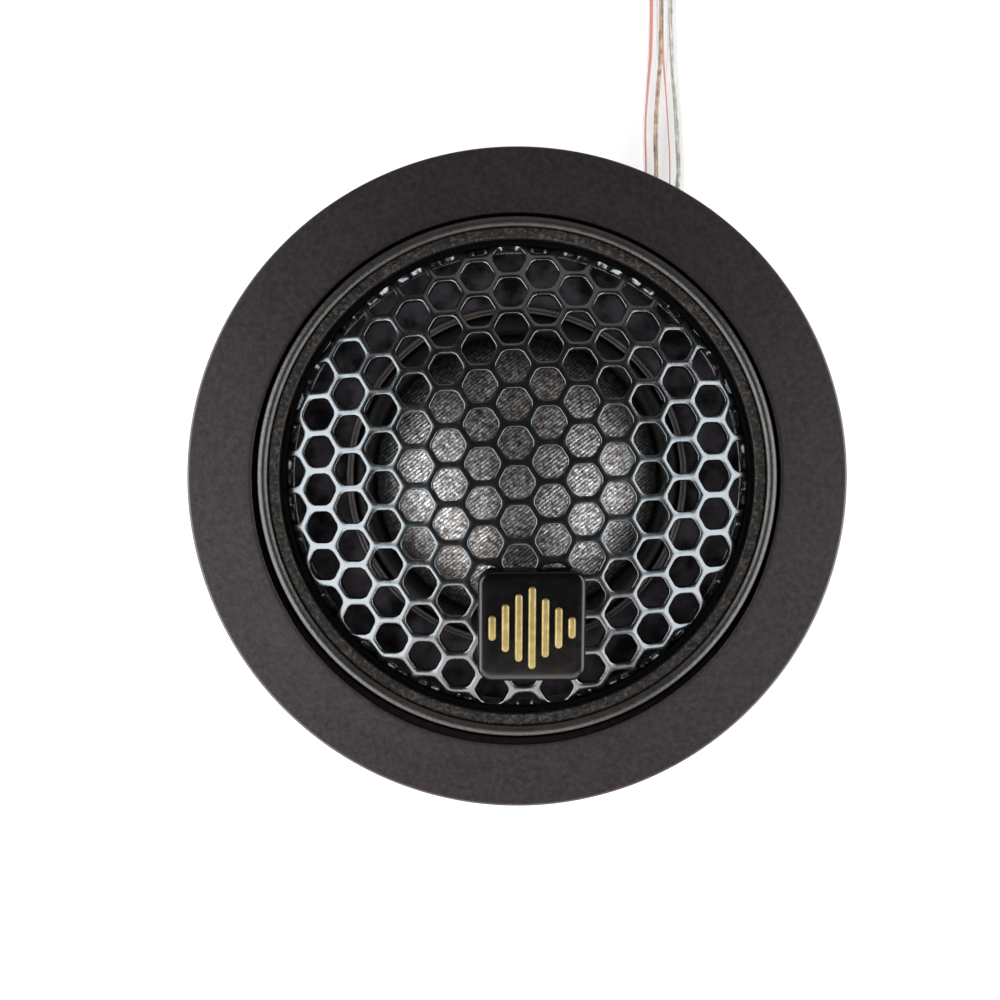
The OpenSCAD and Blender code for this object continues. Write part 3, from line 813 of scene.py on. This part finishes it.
def badge_place():
    """Carries a shape drawn flat on z = 0 to the badge's place, tangent to the grille."""
    around = math.atan2(BADGE_AT.y, BADGE_AT.x)
    tilt = math.asin(BADGE_AT.length / SPHERE_R)
    return (Matrix.Translation((0, 0, SPHERE_Z)) @ Matrix.Rotation(around, 4, "Z")
            @ Matrix.Rotation(tilt, 4, "Y") @ Matrix.Translation((0, 0, SPHERE_R))
            @ Matrix.Rotation(-around, 4, "Z"))


def rounded_rectangle(w, l, r, steps=10):
    points = []
    for cx, cy, start in ((1, 1, 0), (-1, 1, 90), (-1, -1, 180), (1, -1, 270)):
        for i in range(steps + 1):
            a = math.radians(start + 90 * i / steps)
            points.append((cx * (w / 2 - r) + r * math.cos(a), cy * (l / 2 - r) + r * math.sin(a)))
    return points


def build_badge(plate_material, emblem_material):
    place = badge_place()
    build_badge_plate(place, plate_material)
    build_badge_bars(place, emblem_material)


def build_badge_plate(place, material):
    """A plate whose foot follows the grille and whose top edge is rolled over."""
    verts, faces = [], []
    # inset in millimetres and height in plate thicknesses of each outline, from the foot to the flat top
    levels = [(0, None), (0, 0.66), (0.03, 0.76), (0.1, 0.85), (0.2, 0.915), (0.34, 0.96), (0.5, 0.985),
              (0.7, 1.0)]
    for inset, height in levels:
        corner = max(1.3 - inset, 0.5) * MM
        for x, y in rounded_rectangle(BADGE_W - 2 * inset * MM, BADGE_L - 2 * inset * MM, corner):
            z = math.sqrt(SPHERE_R ** 2 - x * x - y * y) - SPHERE_R if height is None else height * BADGE_T
            verts.append(place @ Vector((x, y, z)))
    add_tube_faces(faces, 0, len(levels), len(verts) // len(levels))
    plate = add_mesh("badge_body", verts, faces)
    sharp_edges(plate, 50)
    finish_piece(plate, "tweeter", "badge_plastic", material, "badge_plate")


def build_badge_bars(place, material):
    """Seven upright bars like a sound wave, with rounded ends and edges."""
    verts, faces = [], []
    for i, share in enumerate(BAR_HEIGHTS):
        length = share * BAR_TALLEST
        rows = [(0, -0.02), (0, 0.14), (0.03, 0.2), (0.1, 0.245), (0.18, 0.26)]
        base = len(verts)
        for inset, height in rows:
            w, l = BAR_W - 2 * inset * MM, length - 2 * inset * MM
            for x, y in rounded_rectangle(w, l, w / 2 * 0.98, 6):
                verts.append(place @ Vector((x + (i - 3) * BAR_PITCH, y, BADGE_T + height * MM)))
        add_tube_faces(faces, base, len(rows), (len(verts) - base) // len(rows))
    bars = add_mesh("badge_bars", verts, faces)
    sharp_edges(bars, 50)
    finish_piece(bars, "tweeter", "gold_foil", material, "badge_emblem")


# ---- dome and the rings round it ----

def build_dome(material):
    sphere = (DOME_R ** 2 + DOME_RISE ** 2) / (2 * DOME_RISE)
    centre = DOME_BASE + DOME_RISE - sphere
    thick = 0.3 * MM
    reach = math.asin(DOME_R / sphere)
    inside = sphere - thick
    inner_reach = math.acos((DOME_BASE - centre) / inside)
    outer_steps, inner_steps = 48, 24
    outer_tilts = [reach * i / outer_steps for i in range(outer_steps + 1)]
    inner_tilts = [inner_reach * i / inner_steps for i in range(inner_steps, -1, -1)]
    outer = [(sphere * math.sin(a), centre + sphere * math.cos(a)) for a in outer_tilts]
    inner = [(inside * math.sin(a), centre + inside * math.cos(a)) for a in inner_tilts]
    cap = revolve_crown("silk_dome", outer + inner, 192)
    finish_piece(cap, "diaphragm", "silk", material, "dome")


def build_surround(material):
    roll_at, roll_r, thick = DOME_R + 1.0 * MM, 0.95 * MM, 0.3 * MM
    section = (
        [(roll_at - roll_r, SEAT_Z)] + arc(roll_at, SEAT_Z, roll_r, 172, 22, 16)
        + [(RING_OUT, SEAT_Z + thick), (RING_OUT, SEAT_Z)]
        + arc(roll_at, SEAT_Z, roll_r - thick, 0, 180, 14)
    )
    finish_piece(revolve("silk_surround", section, 192), "tweeter", "surround_silk", material, "surround")


def build_surround_ring(material):
    inner, low = RING_OUT - 0.6 * MM, SEAT_Z + 0.3 * MM
    lip = 0.14 * MM
    section = (
        [(inner, low), (RING_OUT, low)]
        + arc(RING_OUT - lip, RING_TOP - lip, lip, 0, 170, 8)
        + arc(inner + lip, RING_TOP - lip, lip, 10, 180, 8)
    )
    ring = revolve("surround_clamp_ring", section, 192)
    finish_piece(ring, "tweeter", "ring_plastic", material, "surround_ring")


# ---- bezel and flush cup ----

BEZEL_INNER = 20.9 * MM
BEAD_R = 0.4 * MM
BEAD_Z = FLANGE_TOP + 0.2 * MM
BAND_Z = FLANGE_TOP + 0.15 * MM
BAND_OUT = BEZEL_INNER + 0.95 * MM
# inset from the body's wall and depth below the crest, in millimetres, over the bead's two slopes
BEAD_SECTION = [
    (0, 0.34), (0.02, 0.25), (0.07, 0.19), (0.12, 0.16), (0.28, 0.085), (0.34, 0.06), (0.41, 0.045),
    (0.48, 0.04), (0.54, 0.045), (0.6, 0.065), (0.64, 0.085), (0.78, 0.15), (0.84, 0.195), (0.88, 0.27),
    (0.9, 0.5),
]


def build_bezel(band_material, bead_material):
    """Two pieces of one moulding, so that the textured band and the satin bead keep their own finish."""
    seam_r = BAND_OUT + 0.04 * MM
    groove_z = FLANGE_TOP - 0.05 * MM
    step_z = GRILLE_FOOT_Z + FOOT_T
    edge = 0.12 * MM
    bore = GRILLE_FOOT_R + 0.15 * MM
    band_section = (
        [(bore, BEZEL_BOTTOM), (seam_r, BEZEL_BOTTOM), (seam_r, groove_z)]
        + arc(BAND_OUT - edge, BAND_Z - edge, edge, 0, 90, 4)
        + arc(BEZEL_INNER + edge, BAND_Z - edge, edge, 90, 180, 4)
        + [(BEZEL_INNER, step_z), (bore, step_z)]
    )
    band = revolve("bezel_band", band_section, 384)
    sharp_edges(band)
    finish_piece(band, "tweeter", "bezel_plastic", band_material, "front_bezel")
    crest = BEAD_Z + BEAD_R
    slopes = [(BODY_R - inset * MM, crest - depth * MM) for inset, depth in BEAD_SECTION]
    bead_section = [(seam_r, BEZEL_BOTTOM), (BODY_R, BEZEL_BOTTOM)] + slopes + [(seam_r, groove_z)]
    bead = revolve("bezel_bead", bead_section, 384)
    sharp_edges(bead)
    finish_piece(bead, "tweeter", "bezel_plastic", bead_material)


CUP_BORE = BODY_R + 0.3 * MM
SKIRT_R = 24.5 * MM
LIP_R = 21.5 * MM
FLANGE_BOTTOM = FLANGE_TOP - 1.8 * MM
THREAD_LEAD = 3 * MM
THREAD_DEPTH = 0.45 * MM
THREAD_LOW = CUP_BOTTOM + 0.5 * MM
KEY_ANGLE = math.radians(150)
FLANGE_FALL = 0.5 * MM
# angle in degrees and depth in millimetres of the relief along the flange's inner edge
RELIEF = [(150, 0), (180, 0.18), (210, 0.3), (215, 0.38), (235, 0.45), (240, 0.53), (270, 0.46), (315, 0.3),
          (332, 0.18), (336, 0.1), (345, 0)]


def relief_at(angle):
    degrees = math.degrees(angle)
    for (a, low), (b, high) in zip(RELIEF, RELIEF[1:]):
        if a <= degrees < b:
            return (low + (high - low) * ease(degrees, a, b)) * MM
    return 0.0


def cup_shape(r, z, angle):
    """Cuts the thread and the washer's keyway into the skirt, and the relief into the flange's edge."""
    outside = r > SKIRT_R - 0.01 * MM and z < FLANGE_BOTTOM - 0.05 * MM
    if outside and THREAD_LOW < z < GASKET_BOTTOM:
        phase = (z / THREAD_LEAD - angle / TAU) % 1
        # the groove runs out at both ends of the thread
        fade = ease(z, THREAD_LOW, CUP_BOTTOM + 1.2 * MM)
        fade *= 1 - ease(z, GASKET_BOTTOM - 1 * MM, GASKET_BOTTOM)
        root = ease(phase, 0.12, 0.28) - ease(phase, 0.62, 0.78)
        r -= THREAD_DEPTH * root * fade
        if abs((angle - KEY_ANGLE + math.pi) % TAU - math.pi) * SKIRT_R < 1.0 * MM:
            r = SKIRT_R - 0.6 * MM
    if z > FLANGE_BOTTOM:
        r += relief_at(angle) * (1 - ease(r, CUP_BORE + 0.2 * MM, CUP_BORE + 3 * MM))
    return r, z


def build_flush_cup(material):
    edge = 0.2 * MM

    def face_point(share):
        """A point of the flange's gently sloping face, from its outer edge to its inner one."""
        outer, inner = FLANGE_R - edge, CUP_BORE + 0.15 * MM
        return outer + (inner - outer) * share, FLANGE_TOP - FLANGE_FALL * (1 - share)

    lip_top = CUP_BOTTOM + 1.2 * MM
    # the skirt's wall has rows close enough for the thread
    rows = int((FLANGE_BOTTOM - CUP_BOTTOM - 0.5 * MM) / (0.2 * MM))
    wall = [(SKIRT_R, CUP_BOTTOM + 0.3 * MM + i * 0.2 * MM) for i in range(rows)]
    section = (
        [(LIP_R, lip_top), (LIP_R, CUP_BOTTOM), (SKIRT_R - 0.3 * MM, CUP_BOTTOM)] + wall
        + [(SKIRT_R, FLANGE_BOTTOM)]
        + arc(FLANGE_R - edge, FLANGE_BOTTOM + edge, edge, -90, 0, 6)
        + arc(FLANGE_R - edge, FLANGE_TOP - FLANGE_FALL - edge, edge, 0, 86, 8)
        + [face_point(share) for share in (0.03, 0.08, 0.3, 0.5, 0.64, 0.78, 0.88, 0.95)]
        + arc(CUP_BORE + 0.15 * MM, FLANGE_TOP - 0.15 * MM, 0.15 * MM, 90, 180, 5)
        + [(CUP_BORE, FLANGE_BOTTOM + 0.05 * MM), (CUP_BORE, FLANGE_BOTTOM - 0.05 * MM),
           (CUP_BORE, lip_top)]
    )
    cup = revolve("flange_and_skirt", section, 720, cup_shape)
    sharp_edges(cup, 50)
    finish_piece(cup, "mount_cup", "flange_plastic", material, "flush_cup")
    build_lugs(material)


def build_lugs(material):
    """The three inward lugs of the twist lock, with eased edges."""
    tip, root = 21.9 * MM, CUP_BORE + 0.2 * MM
    low, high, half, edge = 10.2 * MM, 11.8 * MM, math.radians(4.5), 0.15 * MM
    section = [(tip + edge, low), (root, low), (root, high), (tip + edge, high), (tip, high - edge),
               (tip, low + edge)]
    verts, faces = [], []
    for centre in (90, 210, 330):
        base = len(verts)
        steps = 8
        for i in range(steps + 1):
            a = math.radians(centre) - half + 2 * half * i / steps
            verts.extend(Vector((r * math.cos(a), r * math.sin(a), z)) for r, z in section)
        add_tube_faces(faces, base, steps + 1, len(section))
    lugs = add_mesh("twist_lugs", verts, faces)
    sharp_edges(lugs, 30)
    finish_piece(lugs, "mount_cup", "flange_plastic", material)


NUT_R = 27.4 * MM
NUT_RIBS = 12
RIB_H = 0.8 * MM


def nut_shape(r, z, angle):
    """Rounded grip ribs round the outside of the lock nut."""
    if r > NUT_R - 0.4 * MM:
        phase = (angle * NUT_RIBS / TAU + 0.5) % 1 - 0.5
        r += RIB_H * (1 - ease(abs(phase), 0.05, 0.11))
    return r, z


def build_lock_nut(material):
    bore, edge = SKIRT_R + 0.3 * MM, 0.25 * MM
    section = (
        [(bore, NUT_LOW + edge), (bore + edge, NUT_LOW)]
        + arc(NUT_R - edge, NUT_LOW + edge, edge, -90, 0, 4)
        + arc(NUT_R - edge, NUT_HIGH - edge, edge, 0, 90, 4)
        + [(bore + edge, NUT_HIGH), (bore, NUT_HIGH - edge)]
    )
    nut = revolve("lock_nut_body", section, 720, nut_shape)
    sharp_edges(nut, 50)
    finish_piece(nut, "clamp_nut", "nut_plastic", material, "lock_nut")


def build_gasket(material):
    """Foam under the flange, its outer edge slightly squeezed out."""
    low, high = GASKET_BOTTOM, FLANGE_BOTTOM
    inner, outer = SKIRT_R + 0.2 * MM, FLANGE_R - 0.5 * MM
    middle, bulge = (low + high) / 2, (high - low) / 2
    squeeze = bulge * 0.4
    rim = outer - squeeze
    section = (
        [(inner, low), (rim, low)]
        + [(rim + squeeze * math.cos(a), middle + bulge * math.sin(a))
           for a in (math.radians(d) for d in range(-75, 76, 15))]
        + [(rim, high), (inner, high)]
    )
    pad = revolve("foam_gasket", section, 256)
    sharp_edges(pad, 60)
    finish_piece(pad, "mount_cup", "gasket_foam", material, "mount_gasket")


# ---- materials of the CAD nodes that keep their own shape ----

def paint_nodes(materials):
    """Gives each carried-over node its material."""
    wanted = {
        "rear_housing": "housing", "faceplate": "faceplate", "coil_former": "paper",
        "voice_coil": "winding", "tinsel_leads": "copper_strands", "pole_plate": "zinc",
        "magnet": "nickel", "yoke_cup": "zinc", "dome_damping_pad": "felt",
        "rear_felt_pad": "dark_felt", "terminal_board": "laminate",
        "positive_terminal": "brass", "negative_terminal": "zinc", "lead_eyelets": "brass",
        "hookup_wires": "red_wire", "lead_cores": "copper_strands", "housing_screws": "zinc",
        "slip_washer": "nylon",
    }
    for name, key in wanted.items():
        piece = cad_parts[name]
        piece.data.materials.clear()
        piece.data.materials.append(materials[key])


def make_materials():
    fine = dict(grain=0.3 * MM, depth=0.01 * MM)
    housing = dict(grain=0.25 * MM, depth=0.015 * MM)
    return {
        "flange": flange_plastic(),
        "band": bezel_plastic(),
        "bead": bead_plastic(),
        "grille": grille_paint(),
        "silk": woven_silk(),
        "surround": doped_silk(),
        "badge": gloss_black(),
        "gold": gold_foil(),
        "jacket": clear_jacket(),
        "copper_strands": strands("copper_strands", (0.2, 0.12, 0.07), (0.55, 0.38, 0.26)),
        "tinned_strands": strands("tinned_strands", (0.38, 0.37, 0.33), (0.7, 0.69, 0.63)),
        "red_tracer": moulded_plastic("red_tracer", (0.62, 0.14, 0.13), (0.75, 0.22, 0.2), 0.4, **fine),
        "red_wire": moulded_plastic("red_wire", (0.3, 0.02, 0.015), (0.4, 0.035, 0.03), 0.4, **fine),
        "ring": moulded_plastic("ring_plastic", (0.03, 0.027, 0.025), (0.07, 0.062, 0.058), 0.2,
                                grain=0.2 * MM, depth=0.012 * MM),
        "faceplate": moulded_plastic(
            "faceplate_plastic", (0.002, 0.0016, 0.002), (0.044, 0.038, 0.045), 0.36, grain=0.3 * MM,
            depth=0.03 * MM, cloud=2.4 * MM, spread=0.12, Specular_IOR_Level=0.25),
        "housing": moulded_plastic("housing_plastic", (0.014, 0.014, 0.0145), (0.02, 0.02, 0.0205), 0.5,
                                   **housing),
        "nut": moulded_plastic("nut_plastic", (0.016, 0.016, 0.017), (0.023, 0.023, 0.024), 0.46, **housing),
        "nylon": moulded_plastic("nylon", (0.58, 0.56, 0.5), (0.68, 0.66, 0.6), 0.45, **fine),
        "laminate": moulded_plastic("laminate", (0.02, 0.12, 0.06), (0.03, 0.17, 0.08), 0.35,
                                    grain=0.4 * MM, depth=0.01 * MM),
        "rubber": soft("grommet_rubber", (0.018, 0.018, 0.018), (0.03, 0.03, 0.03), 0.3 * MM, 0.03 * MM),
        "strap": soft("nylon_strap", (0.012, 0.012, 0.013), (0.03, 0.03, 0.032), 0.25 * MM, 0.1 * MM),
        "foam": soft("gasket_foam", (0.02, 0.02, 0.02), (0.04, 0.04, 0.04), 0.35 * MM, 0.12 * MM),
        "felt": soft("felt", (0.5, 0.47, 0.4), (0.66, 0.62, 0.54), 0.3 * MM, 0.1 * MM),
        "dark_felt": soft("dark_felt", (0.09, 0.085, 0.08), (0.15, 0.14, 0.13), 0.3 * MM, 0.1 * MM),
        "paper": soft("former_paper", (0.5, 0.46, 0.36), (0.64, 0.6, 0.48), 0.3 * MM, 0.02 * MM),
        "winding": metal("copper_winding", (0.45, 0.18, 0.08), (0.66, 0.3, 0.15), 0.35, 0.12 * MM),
        "zinc": metal("zinc_steel", (0.42, 0.43, 0.44), (0.58, 0.59, 0.6), 0.36),
        "nickel": metal("nickel", (0.56, 0.56, 0.55), (0.7, 0.7, 0.68), 0.22),
        "brass": metal("brass", (0.55, 0.42, 0.2), (0.72, 0.58, 0.3), 0.32),
    }


# ---- light and floor ----

def add_area(name, location, target, size, power, colour):
    data = bpy.data.lights.new(name, "AREA")
    data.color = colour
    data.shape = "RECTANGLE"
    data.size, data.size_y = size
    data.energy = power
    lamp = bpy.data.objects.new(name, data)
    lamp.location = location
    lamp.rotation_euler = (Vector(target) - Vector(location)).to_track_quat("-Z", "Y").to_euler()
    bpy.context.collection.objects.link(lamp)


def light_the_scene():
    world = bpy.data.worlds.new("studio")
    world.use_nodes = True
    world.node_tree.nodes["Background"].inputs["Color"].default_value = (1, 0.87, 0.78, 1)
    world.node_tree.nodes["Background"].inputs["Strength"].default_value = 0.042
    bpy.context.scene.world = world
    bpy.context.scene.view_settings.view_transform = "Standard"
    middle = (0, 0, 0.015)
    cool, warm = (0.94, 0.975, 1.0), (1.0, 0.92, 0.86)
    add_area("left_softbox", (-0.162, -0.036, 0.118), middle, (0.28, 0.13), 0.95, cool)
    add_area("right_softbox", (0.165, -0.038, 0.113), middle, (0.28, 0.12), 0.79, cool)
    add_area("front_softbox", (-0.02, -0.17, 0.11), middle, (0.2, 0.1), 0.3, warm)
    add_area("back_softbox", (0.02, 0.18, 0.12), middle, (0.2, 0.1), 0.05, warm)


def add_floor(material):
    """A floor of 3 by 3 metres in twelve squares each way."""
    size = 3.0
    verts, faces = [], []
    steps = 12
    for i in range(steps + 1):
        for k in range(steps + 1):
            verts.append((size * (i / steps - 0.5), size * (k / steps - 0.5), 0))
    for i in range(steps):
        for k in range(steps):
            a = i * (steps + 1) + k
            faces.append((a, a + steps + 1, a + steps + 2, a + 1))
    floor = add_mesh("floor", verts, faces)
    floor.data.materials.append(material)


add_camera()
made = make_materials()
build_lead(made)
build_grommet(made["rubber"])
build_grille(made["grille"])
build_badge(made["badge"], made["gold"])
build_dome(made["silk"])
build_surround(made["surround"])
build_surround_ring(made["ring"])
build_bezel(made["band"], made["bead"])
build_flush_cup(made["flange"])
build_lock_nut(made["nut"])
build_gasket(made["foam"])
paint_nodes(made)
light_the_scene()
add_floor(pale_floor())
